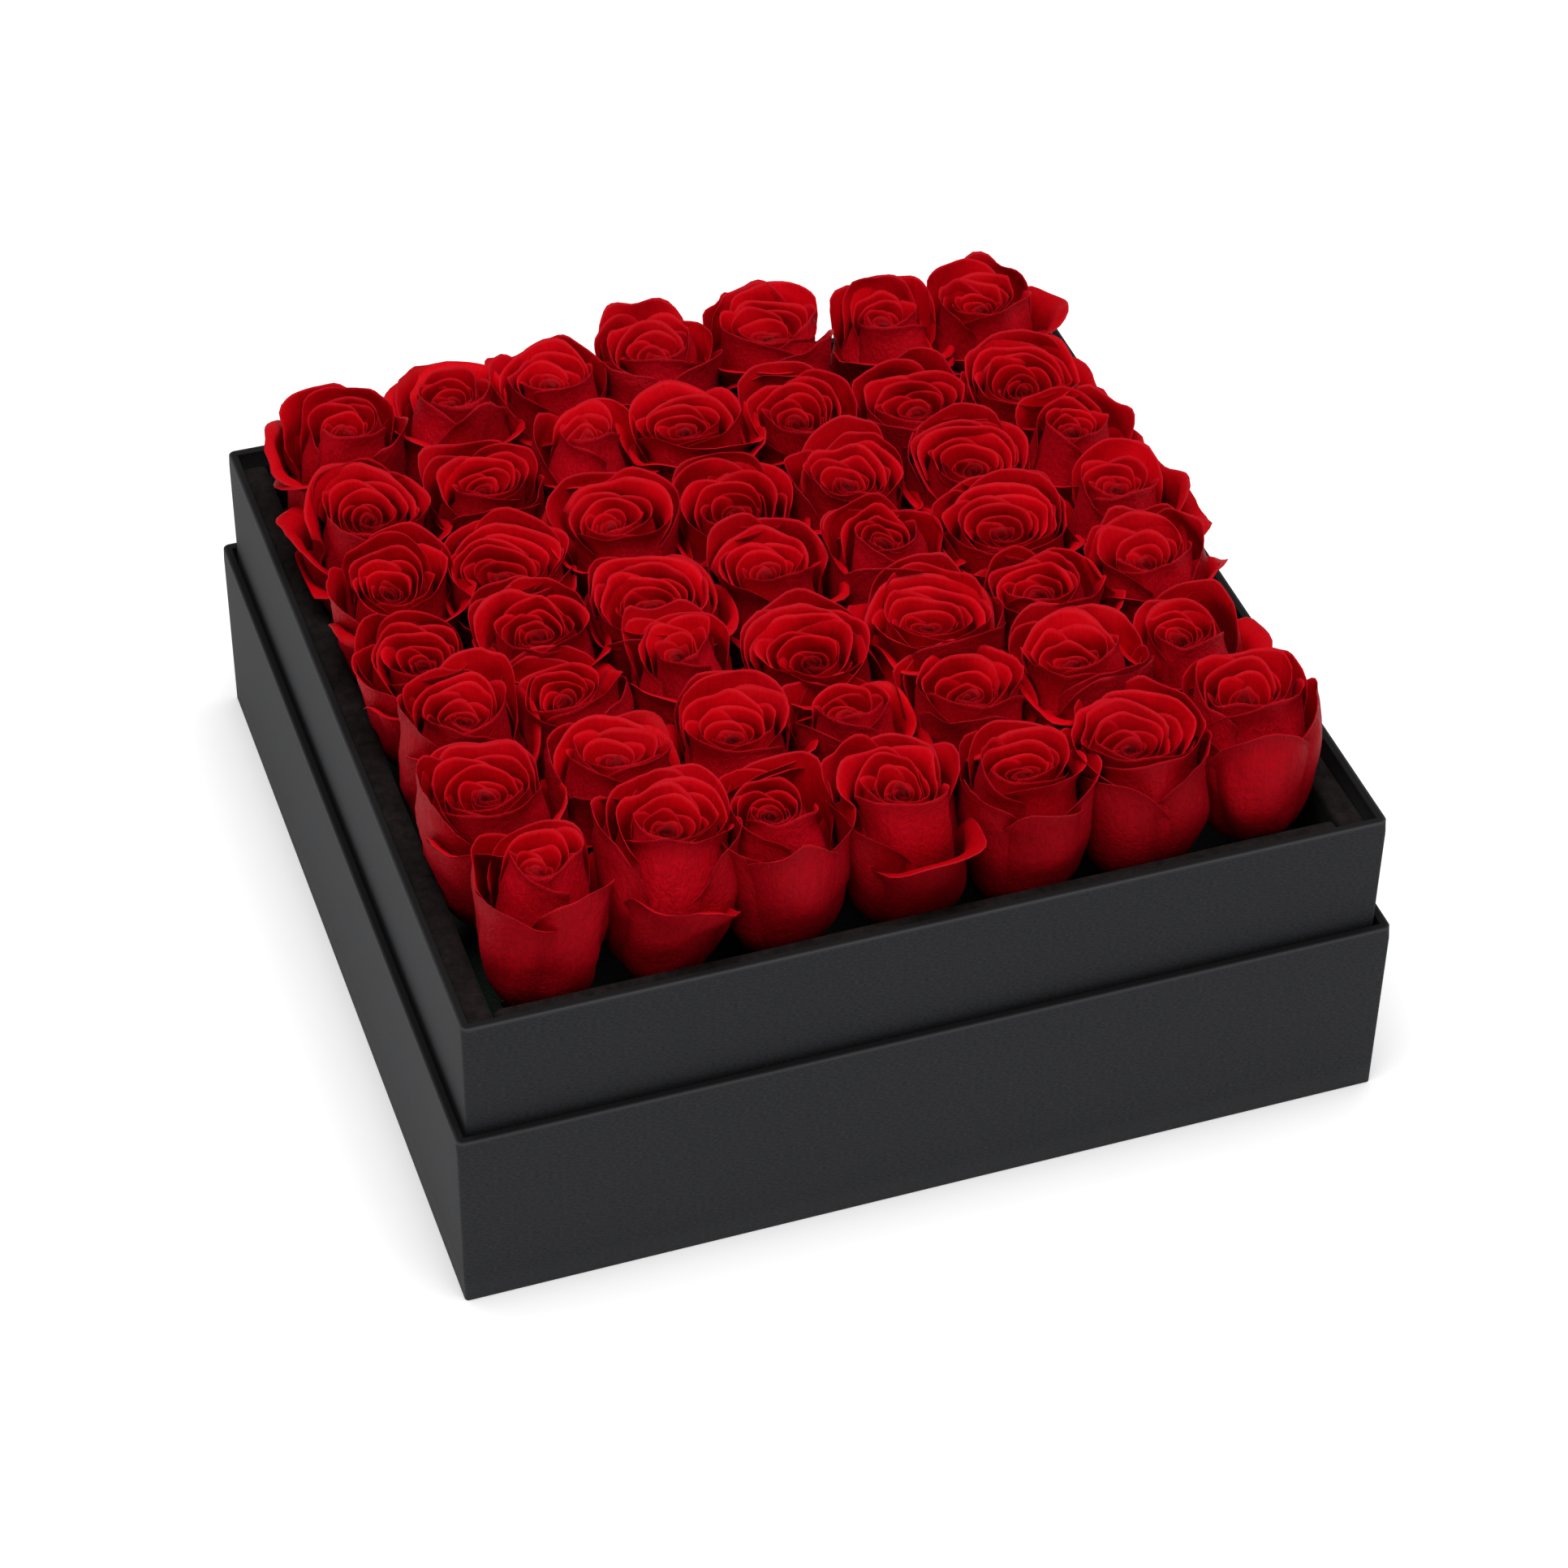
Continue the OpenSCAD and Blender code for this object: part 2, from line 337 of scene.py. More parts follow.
def squareRing(half, radius, side=24, corner=8):
    # points round a square with rounded corners, anticlockwise: straight stretches of even steps joined by
    # quarter circles. half and radius are arrays with one value for each profile point.
    quarter = np.linspace(0, math.pi / 2, corner + 1)
    steps = np.linspace(-1, 1, side + 1)[1:-1]
    xs, ys = [], []
    for k in range(4):
        c, s = math.cos(k * math.pi / 2), math.sin(k * math.pi / 2)
        flat = (half - radius)[:, None]
        x = np.concatenate([half[:, None] + 0 * steps, flat + radius[:, None] * np.cos(quarter)], 1)
        y = np.concatenate([flat * steps, flat + radius[:, None] * np.sin(quarter)], 1)
        xs.append(x * c - y * s)
        ys.append(x * s + y * c)
    return np.concatenate(xs, 1), np.concatenate(ys, 1)


def cornerAt(height, rim):
    # The corners are sharper low down and blunter at the rim, where the fold pulls them in: the radius
    # eases from cornerRadius to topCornerRadius as s * s * (3 - 2 * s) over the last topDrop millimetres.
    s = np.clip((height - rim + paper["topDrop"]) / paper["topDrop"], 0, 1)
    return paper["cornerRadius"] + (paper["topCornerRadius"] - paper["cornerRadius"]) * s * s * (3 - 2 * s)


def sectionSolid(name, node, body, material, section, closedRing):
    # Carries a section of (distance in from the outer face, height) round the square. A closed section
    # joins its end to its start, and an open one is closed at the square's middle by two flat faces.
    # UV is the length along the wall and along the section, in metres.
    low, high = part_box(node)
    rim, width = high[2] / mm, (high[0] - low[0]) / mm
    section = np.array(section, float)
    inset, height = section[:, 0], section[:, 1]
    x, y = squareRing(width / 2 - inset, np.maximum(cornerAt(height, rim) - inset, paper["leastRadius"]))
    z = np.repeat(height[:, None], x.shape[1], 1)
    along = np.concatenate([[0], np.cumsum(np.hypot(np.diff(x[0]), np.diff(y[0])))])
    across = np.concatenate([[0], np.cumsum(np.hypot(*np.diff(section, axis=0).T))])
    uvs = np.stack(np.broadcast_arrays(along[None, :], across[:, None]), -1) * mm
    grid = np.arange(x.size).reshape(x.shape)
    above = np.roll(grid, -1, 0) if closedRing else grid[1:]
    here = grid if closedRing else grid[:-1]
    quads = np.stack([here, np.roll(here, -1, 1), np.roll(above, -1, 1), above], -1).reshape(-1, 4)
    faces = [quads] if closedRing else [quads, grid[:1, ::-1], grid[-1:]]
    paintedLight, fold = paper["paintedLight"], paper["fold"]
    # painted highlight along the outer edge of the rim in red, and painted shade over the fold in green
    edge = np.exp(-((inset - paintedLight["middle"]) / paintedLight["width"]) ** 2) * (height > rim - paintedLight["reach"])
    top = np.clip((inset - fold["start"]) / fold["width"], 0, 1) * (height > rim - fold["reach"])
    data = np.zeros(x.shape + (4,))
    data[..., 0], data[..., 1] = edge[:, None], top[:, None]
    points = np.stack([x, y, z], -1).reshape(-1, 3) * mm
    piece = meshObject(name, points, faces, [material], pointData=data.reshape(-1, 4), dataName="paintedLight",
                       uvs=uvs.reshape(-1, 2))
    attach(piece, body)
    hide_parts(node)


def sidePaper(name, node, body):
    # up the outside, round the edge, over the rim, round the inner edge, down the inside, and back along
    # the glued side of the paper
    low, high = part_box(node)
    bottom, rim = low[2] / mm, high[2] / mm
    e, t, wall = paper["edgeRadius"], paper["thickness"], paper["wall"]
    band, inner, turnIn = paper["rimBand"], paper["innerBand"], paper["turnIn"]
    angles = np.linspace(0, math.pi / 2, 6)
    section = [(0, bottom + (rim - band - bottom) * f) for f in np.linspace(0, 1, 7)[:-1]]
    section += [(0, rim - band + (band - e) * f) for f in np.linspace(0, 1, 9)[:-1]]
    section += [(e - e * math.cos(a), rim - e + e * math.sin(a)) for a in angles]
    section += [(inset, rim) for inset in paper["rimPoints"]]
    section += [(wall - e + e * math.sin(a), rim - e + e * math.cos(a)) for a in angles]
    section += [(wall, rim - inner), (wall, rim - turnIn)]
    section += [(wall - t, rim - turnIn), (wall - t, rim - inner), (wall - t, rim - e - t)]
    section += [(wall - e, rim - t), (e, rim - t)]
    section += [(t, rim - e - t), (t, rim - band / 2), (t, rim - band), (t, bottom)]
    sectionSolid(name, node, body, ribbedPaper, section, True)


def boardTray(name, node, body, floorTop):
    # the board under the paper: flat underside, outer wall, rim, inner wall, flat floor
    low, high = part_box(node)
    bottom, rim = low[2] / mm, high[2] / mm
    wall = paper["wall"] - 2 * paper["thickness"]
    section = [(0, bottom)] + [(0, rim - drop) for drop in paper["boardRings"]]
    section += [(wall, rim - drop) for drop in reversed(paper["boardRings"])] + [(wall, floorTop)]
    sectionSolid(name, node, body, blackBoard, section, False)


sidePaper("lidPaper", "lid_side_wrap", "lid")
sidePaper("boxPaper", "box_side_wrap", "box")
boardTray("lidBoard", "lid_board", "lid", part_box("box_base_sheet")[0][2] / mm)
boardTray("boxBoard", "box_board", "box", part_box("floor_lining")[0][2] / mm)
for node, material in (("lid_top_sheet", flatPaper), ("box_base_sheet", flatPaper), ("floor_lining", velvet),
                       ("foam_blocks", flowerFoam), ("liner_tray", trayPlastic)):
    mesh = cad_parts[node].data
    mesh.materials.clear()
    mesh.materials.append(material)
print("paper and board made")

# Velvet-covered panels. The cells are counted through, along and up a panel, and swell is the pile's slow
# unevenness: how many waves, their steepness in radians a millimetre, and the depth of each.
panel = dict(thickness=10, roundness=2.4, roundSteps=4, through=4, along=40, up=16,
             swell=dict(waves=5, speed=0.09, depth=0.048))


def softBlock(low, high, cells, seed):
    # A box with rounded edges: each point of a gridded box is pulled onto a sphere of the given radius
    # round the nearest point of the box shrunk by that radius, then moved a little by slow waves.
    radius, swell = panel["roundness"], panel["swell"]
    turn = radius * (1 - np.cos(np.linspace(0, math.pi / 2, panel["roundSteps"] + 1)))[:-1]
    grids, quads, start = [], [], 0
    for axis in range(3):
        u, v = (axis + 1) % 3, (axis + 2) % 3
        for end in (0, 1):
            # closely spaced lines near the edges, where the rounding is
            lines = []
            for k in (u, v):
                size = high[k] - low[k]
                inner = np.linspace(radius, size - radius, cells[k] + 1)
                lines.append(low[k] + np.concatenate([turn, inner, size - turn[::-1]]))
            a, b = np.meshgrid(*lines, indexing="ij")
            points = np.zeros(a.shape + (3,))
            points[..., u], points[..., v] = a, b
            points[..., axis] = (low, high)[end][axis]
            g = np.arange(a.size).reshape(a.shape) + start
            faces = np.stack([g[:-1, :-1], g[1:, :-1], g[1:, 1:], g[:-1, 1:]], -1).reshape(-1, 4)
            quads.append(faces if end else faces[:, ::-1])
            grids.append(points.reshape(-1, 3))
            start += a.size
    points = np.concatenate(grids)
    core = np.clip(points, low + radius, high - radius)
    outward = (points - core) / np.linalg.norm(points - core, axis=1, keepdims=True)
    points = core + outward * radius
    rnd = np.random.default_rng(seed)
    for _ in range(swell["waves"]):
        wave = rnd.uniform(-1, 1, 3) * swell["speed"]
        depth = swell["depth"] * (1 + np.sin(points @ wave + rnd.uniform(0, 6.28)))
        points = points - outward * depth[:, None]
    return points, np.concatenate(quads)


def mergeDoubles(piece, distance=1e-6):
    work = bmesh.new()
    work.from_mesh(piece.data)
    bmesh.ops.remove_doubles(work, verts=work.verts, dist=distance)
    work.to_mesh(piece.data)
    work.free()


def velvetPanels(name, node, axis):
    # the two panels that face each other along an axis, as one piece
    low, high = [np.array(corner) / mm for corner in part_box(node)]
    cells = [panel["through" if k == axis else "along"] for k in (0, 1)] + [panel["up"]]
    points, quads, start = [], [], 0
    for k in (0, 1):
        panelLow, panelHigh = low.copy(), high.copy()
        if k == 0:
            panelHigh[axis] = low[axis] + panel["thickness"]
        else:
            panelLow[axis] = high[axis] - panel["thickness"]
        block, faces = softBlock(panelLow, panelHigh, cells, 7 * axis + k)
        points.append(block)
        quads.append(faces + start)
        start += len(block)
    piece = meshObject(name, np.concatenate(points) * mm, [np.concatenate(quads)], [velvet])
    mergeDoubles(piece)
    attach(piece, "box")
    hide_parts(node)


velvetPanels("sidePanels", "side_linings", 0)
velvetPanels("endPanels", "end_linings", 1)
print("velvet panels made")

# One letter a rose: b is a tight bloom, h half open, o open. Rows from the front, each from left to right.
kindPlan = ["bhbhhoh", "hhhbhhb", "hhboohh", "hhohbob", "hohhhob", "ohbohho", "bbhhhbh"]
# How far each bloom leans from its stem, to the right and to the back.
leanRight = [[5, 9, -1, -1, 2, -2, -1], [-3, 2, -1, -2, -2, -5, -8], [2, -7, -6, -4, -1, -1, -3],
             [-4, -6, -6, -4, -2, 0, 3], [-3, -6, -5, -4, -2, 4, 1], [1, 1, 1, -6, -6, -4, -5],
             [2, 3, -3, -3, -1, 4, -3]]
leanBack = [[6, 9, 7, 7, 4, 6, 12], [4, 8, 7, 6, 5, 8, 8], [5, 4, 9, -3, 0, 5, 9], [-5, -2, -2, 3, 3, 1, 8],
            [-6, -8, 1, -3, 0, -2, 3], [-4, -3, 9, 5, 1, -5, -7], [1, 7, 6, 9, 9, 6, 3]]

# Guard petals of the roses that stand at the edge, as the way each one faces and its style: t stands tall,
# w wraps round to a point, r is rolled back and f folded over. Degrees run anticlockwise from the right.
guardPlan = {
    (1, 1): "70t 150t 350w 222w 292w", (1, 2): "60t 110t 335w 170t 258f", (1, 3): "130t 62t 205w 330w 268w",
    (1, 4): "80t 140t 20w 205w 290f", (1, 5): "90t 140t 205w 335w 272w", (1, 6): "30t 90t 160w 225w 318w",
    (1, 7): "120t 60t 185w 335w 262w", (2, 7): "90t 160r 250r 5f 45t", (3, 7): "150t 240r 320r 20t 80t",
    (4, 7): "60t 200r 270r 350f 20r", (5, 7): "100t 200r 280f 340r 40t", (6, 7): "80t 170r 260r 330f 10f",
    (7, 7): "110t 200f 280r 350r 60t", (7, 1): "100t 60t 180r 250r 330t", (6, 1): "40t 110t 170f 215f 300r",
    (5, 1): "90t 50t 180t 240r 320r", (4, 1): "80t 130t 190t 250r 330r", (3, 1): "60t 120t 185t 245r 340r",
    (2, 1): "100t 55t 170t 250r 330r",
}
# The other roses have one guard in each corner of their cell, one behind and one in front. Each faces its
# way give or take wander degrees, in a style drawn from the letters for its half of the rose.
freeGuards = dict(ways=(45, 225, 135, 315, 90, 270), wander=24, behind="tttr", before="rrrft")

# A pair gives a value for the innermost and for the outermost petal of a group, and the petals between
# follow smoothly. In chance and guardStyles it is a range to draw from, but fold holds how much of the curl
# the middle of a lip takes and the power by which it sets in. Angles are in degrees. depth, rim and the
# styles' top are shares of the head's height, the heart's top and the cup's rise are shares of depth, and
# ring and the guards' radius are shares of bellyRadius, which belongs to a head of usualWidth.
rose = dict(
    headHeight=58, bellyRadius=21.2, usualWidth=41.2, thickness=0.4, marginThickness=0.07, baseAngle=84,
    goldenAngle=137.5, tip=(0.5, 2.4), notch=(0.15, 0.8), bulge=0.6,
    chance=dict(azimuth=(-0.15, 0.15), shoulder=(0.8, 1.25), tip=(0, 1), tipPlace=(-0.45, 0.45),
                arch=(2.0, 4.6), notch=(0.3, 1), waves=(0.8, 1.9), roll=(0, 0.9), ruffle=(0.5, 1.3),
                bulge=(-1, 1), spiral=(0.7, 1.2), span=(0.92, 1.08), gather=(-2, 2), curl=(0.6, 1.25),
                rim=(-0.014, 0.014), guardFlat=(0.98, 1.04)),
    heart=dict(petals=6, columns=15, rows=10, radius=(1.1, 4.6), top=(0.0, 0.12), open=(-6, -8),
               span=(165, 120), lip=(0.8, 1.6), curl=(4, 22), shoulder=(0.05, 0.07), spiral=(1.1, 1.6),
               ruffle=(0.05, 0.15)),
    kinds=dict(
        b=dict(petals=9, ring=0.90, depth=0.125, gather=-15, curl=(24, 52), lip=(3.5, 7.5), bend=2.8),
        h=dict(petals=10, ring=0.95, depth=0.15, gather=-10, curl=(26, 62), lip=(4.0, 9.0), bend=2.9),
        o=dict(petals=12, ring=1.00, depth=0.165, gather=-5, curl=(30, 74), lip=(4.5, 10.5), bend=3.0),
    ),
    cup=dict(columns=21, rows=15, span=(118, 88), shoulder=(0.06, 0.13), spiral=(1.9, 2.8),
             ruffle=(0.15, 0.6), foot=(1.4, 2.2), flat=(1.0, 1.04), gap=1.2, growth=0.92, rise=0.88,
             riseEnd=0.85, riseBend=1.1),
    guards=dict(columns=23, rows=19, radius=(1.0, 1.18), span=(76, 68), shoulder=(0.26, 0.38),
                spiral=(0.6, 0.8), ruffle=(0.7, 1.3), bend=(3.3, 3.7), foot=2.4, tipGrowth=1.7,
                widthShare=0.6),
    guardStyles=dict(
        t=dict(top=(0.94, 1.05), curl=(14, 46), lip=(4, 7), open=(-3, 6), roll=(0.1, 0.9), fold=(0.6, 1.5),
               hug=0.3),
        w=dict(top=(0.88, 1.0), curl=(22, 52), lip=(5, 8), open=(-1, 5), roll=(0.3, 0.9), fold=(0.7, 1.3),
               hug=0.2, arch=2.1, shoulder=0.5),
        r=dict(top=(0.84, 0.96), curl=(75, 125), lip=(7, 11), open=(0, 8), roll=(0, 0.5), fold=(0.9, 1.2),
               hug=0.75),
        f=dict(top=(0.70, 0.84), curl=(60, 95), lip=(10, 15), open=(0, 7), roll=(-0.1, 0.3), fold=(1.0, 1.0),
               hug=0.8),
    ),
)
# Sepals take the same values as petals, and sepalPlan says what differs from one to the next.
sepal = dict(columns=7, rows=10, shoulder=0.55, tip=5.5, tipPlace=0, arch=3, notch=0.3, waves=1.2, base=80,
             lip=9, rollLeft=0.5, rollRight=0.5, rollMiddle=0.6, rollBend=1.3, hug=0, foot=3.2, ruffle=0.5,
             bulge=0.0, spiral=0.0, span=20, flat=1.0, bend=2.6)
sepalPlan = dict(count=5, radius=10.5, phase=(0, 6), open=(14, 26), curl=(20, 70), azimuth=(-0.2, 0.2),
                 top=(9, 12))
# The stem widens into the calyx. neck has pairs of a share of the stem's radius and a height, and calyx has
# pairs of a radius and a height. The stem bends with the head over the last bendLength.
stem = dict(diameter=6, sides=20, bendLength=14, neck=((0.98, -3), (1.15, -1.5)),
            calyx=((5.6, 1.2), (6.2, 3.5), (5.0, 6.5), (0, 7.0)))
# How heads lean and press on each other. drift is the unevenness as groups of waves: how many, how long and
# how strong. give is the share of an overlap that stays, low down and at the rim.
packing = dict(drift=((4, 34, 0.9), (4, 15, 0.42), (3, 7, 0.15)), driftHeight=25, tiltShare=0.33,
               leanBend=1.5, give=(0.18, 0.65), firmShare=0.45, overhang=0.55, overhangHeight=30,
               panelPlay=0.3, wallGap=0.4, wallGive=0.04)


def blend(pair, t):
    return pair[0] + (pair[1] - pair[0]) * t


def petalSheets(p):
    # One petal as an outer and an inner face on a grid of u across and w along.
    # Along the petal its direction turns from base (lying over) to open as (1 - w)^bend. Over the last lip
    # millimetres it turns outwards by curl as well: rollMiddle of it in the middle, more towards the sides by
    # rollLeft and rollRight, and less again at the very sides by hug. Adding up the directions gives radius
    # and height. Across, the sheet follows an arc that is flat times the rose's own circle, and one side
    # lies further out than the other by spiral, so that the petals wind into each other.
    columns, rows = p["columns"], p["rows"]
    u = np.linspace(-1, 1, columns)[:, None]
    w = (1 - (1 - np.linspace(0, 1, rows)) ** 1.4)[None, :]
    side = np.abs(u)
    # the rim: lower at the shoulders, with a soft tip and shallow notches
    length = p["length"] * (1 - p["shoulder"] * side ** p["arch"])
    length = length + p["tip"] * (np.exp(-np.abs((u - p["tipPlace"]) / 0.26) ** 1.4) - 0.3)
    length = length + p["notch"] * np.sin(math.pi * u * p["waves"] * 1.6 + p["phase"])
    edge = (1 - w) * length
    # the directions, and the lip that curls by them
    psi = np.radians(p["open"] + (p["base"] - p["open"]) * (1 - w) ** p["bend"])
    q = np.clip(1 - edge / (p["lip"] * (1 + 0.35 * np.sin(2.3 * u + p["phase"]))), 0, 1)
    roll = p["rollMiddle"] + 0.75 * side ** 1.4 * np.where(u > 0, p["rollRight"], p["rollLeft"])
    curl = np.radians(p["curl"]) * roll * q ** p["rollBend"] * (1 - p["hug"] * side ** 3)
    over, up = p["stretch"] * np.sin(psi), np.cos(psi)
    dr = over * np.cos(curl) + up * np.sin(curl)
    dz = up * np.cos(curl) - over * np.sin(curl)
    step = np.diff(w, axis=1) * length
    start = np.zeros((columns, 1))
    r = p["foot"] + np.concatenate([start, np.cumsum((dr[:, 1:] + dr[:, :-1]) / 2 * step, axis=1)], 1)
    z = np.concatenate([start, np.cumsum((dz[:, 1:] + dz[:, :-1]) / 2 * step, axis=1)], 1)
    # ruffles on the lip, one soft bulge, and the spiral
    r = r + p["ruffle"] * q * np.sin(p["waves"] * math.pi * u + p["phase"])
    z = z + 0.7 * p["ruffle"] * q * np.sin(1.7 * p["waves"] * math.pi * u + 2 * p["phase"])
    r = r + p["bulge"] * np.sin(2.1 * u + p["phase"]) * np.sin(math.pi * w)
    r = r + p["spiral"] * u * (0.2 + 0.8 * w)
    r = np.maximum(r, 0.25)
    angle = np.radians(p["span"]) * (0.6 + 0.4 * np.minimum(w / 0.5, 1) ** 0.8) * u / p["flat"]
    bow = r * p["flat"]
    x, y = r - bow + bow * np.cos(angle), bow * np.sin(angle)
    c, s = math.cos(p["azimuth"]), math.sin(p["azimuth"])
    sheet = np.stack([x * c - y * s, x * s + y * c, z], -1)
    normal = np.cross(np.gradient(sheet, axis=0), np.gradient(sheet, axis=1))
    normal /= np.maximum(np.linalg.norm(normal, axis=-1, keepdims=True), 1e-9)
    # full thickness from 2.5 mm inside the rim, and thin at the rim and the sides
    body = np.clip(edge / 2.5, 0, 1) * np.clip((1 - side) / 0.12, 0, 1)
    half = blend((rose["marginThickness"], rose["thickness"]), body)[..., None] / 2
    rim = np.maximum(np.clip(1 - edge / 0.5, 0, 1), np.clip((side - 0.95) / 0.05, 0, 1) * (w > 0.5))
    return sheet + normal * half, sheet - normal * half, rim, u + 0 * w, w + 0 * u


def sheetFaces(columns, rows, start):
    # quads of both faces of a sheet and of the narrow band that joins them all round
    g = np.arange(columns * rows).reshape(columns, rows) + start
    h = g + columns * rows
    outer = np.stack([g[:-1, :-1], g[1:, :-1], g[1:, 1:], g[:-1, 1:]], -1).reshape(-1, 4)
    inner = np.stack([h[:-1, :-1], h[:-1, 1:], h[1:, 1:], h[1:, :-1]], -1).reshape(-1, 4)
    ring = np.concatenate([g[:-1, 0], g[-1, :-1], g[:0:-1, -1], g[0, :0:-1]])
    twin = ring + columns * rows
    band = np.stack([ring, twin, np.roll(twin, -1), np.roll(ring, -1)], -1)
    return np.concatenate([outer, inner, band])


def fitPetal(p, radius, top):
    # length from the wanted height, and stretch from the wanted radius at six tenths of the way up
    w = np.linspace(0, 1, 60)
    psi = np.radians(p["open"] + (p["base"] - p["open"]) * (1 - w) ** p["bend"])
    p["length"] = top / np.mean(np.cos(psi))
    reach = p["length"] * np.mean(np.where(w < 0.62, np.sin(psi), 0))
    p["stretch"] = max((radius - p["foot"]) / reach, 0.02)
    return p


def onePetal(rnd, group, t, **values):
    # what every petal shares: small accidents of shape on top of its group's own values
    def luck(name):
        return rnd.uniform(*rose["chance"][name])

    p = dict(columns=group["columns"], rows=group["rows"], base=rose["baseAngle"],
             shoulder=blend(group["shoulder"], t) * luck("shoulder"),
             tip=blend(rose["tip"], t) * luck("tip") ** 1.5, tipPlace=luck("tipPlace"), arch=luck("arch"),
             notch=blend(rose["notch"], t) * luck("notch"), waves=luck("waves"),
             phase=rnd.uniform(0, math.tau), rollLeft=luck("roll"), rollRight=luck("roll"), rollMiddle=0.6, rollBend=1.5,
             ruffle=blend(group["ruffle"], t) * luck("ruffle"), bulge=rose["bulge"] * t * luck("bulge"),
             spiral=blend(group["spiral"], t) * luck("spiral"), span=blend(group["span"], t) * luck("span"),
             flat=1.0, foot=1.2, bend=2.6, hug=0.1)
    p.update(values)
    return p


def heartPetal(rnd, kind, t, azimuth):
    # tight rolls round the axis, at the sunken middle of the bloom
    heart = rose["heart"]
    p = onePetal(rnd, heart, t, azimuth=azimuth, open=blend(heart["open"], t), lip=blend(heart["lip"], t),
                 curl=blend(heart["curl"], t))
    top = rose["headHeight"] * (1 - kind["depth"] * (1 - blend(heart["top"], t)))
    return fitPetal(p, blend(heart["radius"], t), top)


def cupPetal(rnd, kind, t, azimuth, scale):
    # the bloom's spiral: the radius grows as t^growth, and the rims rise outwards like a funnel
    cup, chance = rose["cup"], rose["chance"]
    p = onePetal(rnd, cup, t, azimuth=azimuth, open=kind["gather"] + rnd.uniform(*chance["gather"]),
                 lip=blend(kind["lip"], t), curl=blend(kind["curl"], t) * rnd.uniform(*chance["curl"]),
                 foot=blend(cup["foot"], t), flat=blend(cup["flat"], t), bend=kind["bend"])
    rings = rose["heart"]["radius"][1] + cup["gap"], rose["bellyRadius"] * scale * kind["ring"]
    sunk = kind["depth"] * cup["rise"] * (1 - min(t / cup["riseEnd"], 1)) ** cup["riseBend"]
    top = rose["headHeight"] * (1 - sunk + rnd.uniform(*chance["rim"]))
    return fitPetal(p, blend(rings, t ** cup["growth"]), top)


def guardPetal(rnd, plan, t, scale):
    # an outer petal that faces the way and has the style that its plan says
    guards, style = rose["guards"], rose["guardStyles"][plan[-1]]
    p = onePetal(rnd, guards, t, azimuth=math.radians(float(plan[:-1])), open=rnd.uniform(*style["open"]),
                 lip=rnd.uniform(*style["lip"]), curl=rnd.uniform(*style["curl"]), foot=guards["foot"],
                 flat=rnd.uniform(*rose["chance"]["guardFlat"]), bend=blend(guards["bend"], t))
    p.update(tip=p["tip"] * guards["tipGrowth"], rollMiddle=style["fold"][0], rollBend=style["fold"][1],
             rollLeft=rnd.uniform(*style["roll"]), rollRight=rnd.uniform(*style["roll"]), hug=style["hug"],
             arch=style.get("arch", p["arch"]), shoulder=style.get("shoulder", p["shoulder"]))
    radius = rose["bellyRadius"] * blend((1, scale), guards["widthShare"]) * blend(guards["radius"], t)
    return fitPetal(p, radius, rose["headHeight"] * rnd.uniform(*style["top"]))


def rosePetals(kind, width, plan, rnd):
    # Heart and cup petals on one golden-angle spiral with radii that grow outwards, and then the guards.
    # Each petal comes with its place from the heart (0) to the outermost petal (1) and a tone of its own.
    scale = width / rose["usualWidth"]
    turn = rnd.uniform(0, math.tau)
    if not plan:
        for way in freeGuards["ways"]:
            angle = way + rnd.uniform(-freeGuards["wander"], freeGuards["wander"])
            styles = freeGuards["behind"] if way < 180 else freeGuards["before"]
            plan.append("%.0f%s" % (angle, rnd.choice(list(styles))))
    inHeart, inCup = rose["heart"]["petals"], kind["petals"]
    total = inHeart + inCup + len(plan)
    petals = []
    for i in range(total):
        azimuth = turn + i * math.radians(rose["goldenAngle"]) + rnd.uniform(*rose["chance"]["azimuth"])
        if i < inHeart:
            p = heartPetal(rnd, kind, i / (inHeart - 1), azimuth)
        elif i < inHeart + inCup:
            p = cupPetal(rnd, kind, (i - inHeart) / (inCup - 1), azimuth, scale)
        else:
            j = i - inHeart - inCup
            p = guardPetal(rnd, plan[j], j / (len(plan) - 1), scale)
        petals.append((p, i / (total - 1), rnd.uniform(0, 1)))
    return petals


def roseSepals(rnd):
    # short pointed leaves round the calyx
    sepals = []
    for k in range(sepalPlan["count"]):
        own = {name: rnd.uniform(*sepalPlan[name]) for name in ("phase", "open", "curl", "azimuth")}
        own["azimuth"] += k * math.tau / sepalPlan["count"]
        sepals.append(fitPetal({**sepal, **own}, sepalPlan["radius"], rnd.uniform(*sepalPlan["top"])))
    return sepals


def leafMesh(leaves, start):
    # points, quads, petal data and UV of several leaves, each given with its place in the rose and its tone
    points, quads, data, uvs = [], [], [], []
    for p, place, tone in leaves:
        outer, inner, rim, u, w = petalSheets(p)
        points += [outer.reshape(-1, 3), inner.reshape(-1, 3)]
        quads.append(sheetFaces(*rim.shape, start))
        start += 2 * rim.size
        for face in (0.0, 1.0):
            data.append(np.column_stack([rim.ravel(), *(np.full(rim.size, k) for k in (tone, face, place))]))
            uvs.append(np.column_stack([u.ravel() + 3 * place, w.ravel()]))
    return [np.concatenate(parts) for parts in (points, quads, data, uvs)]


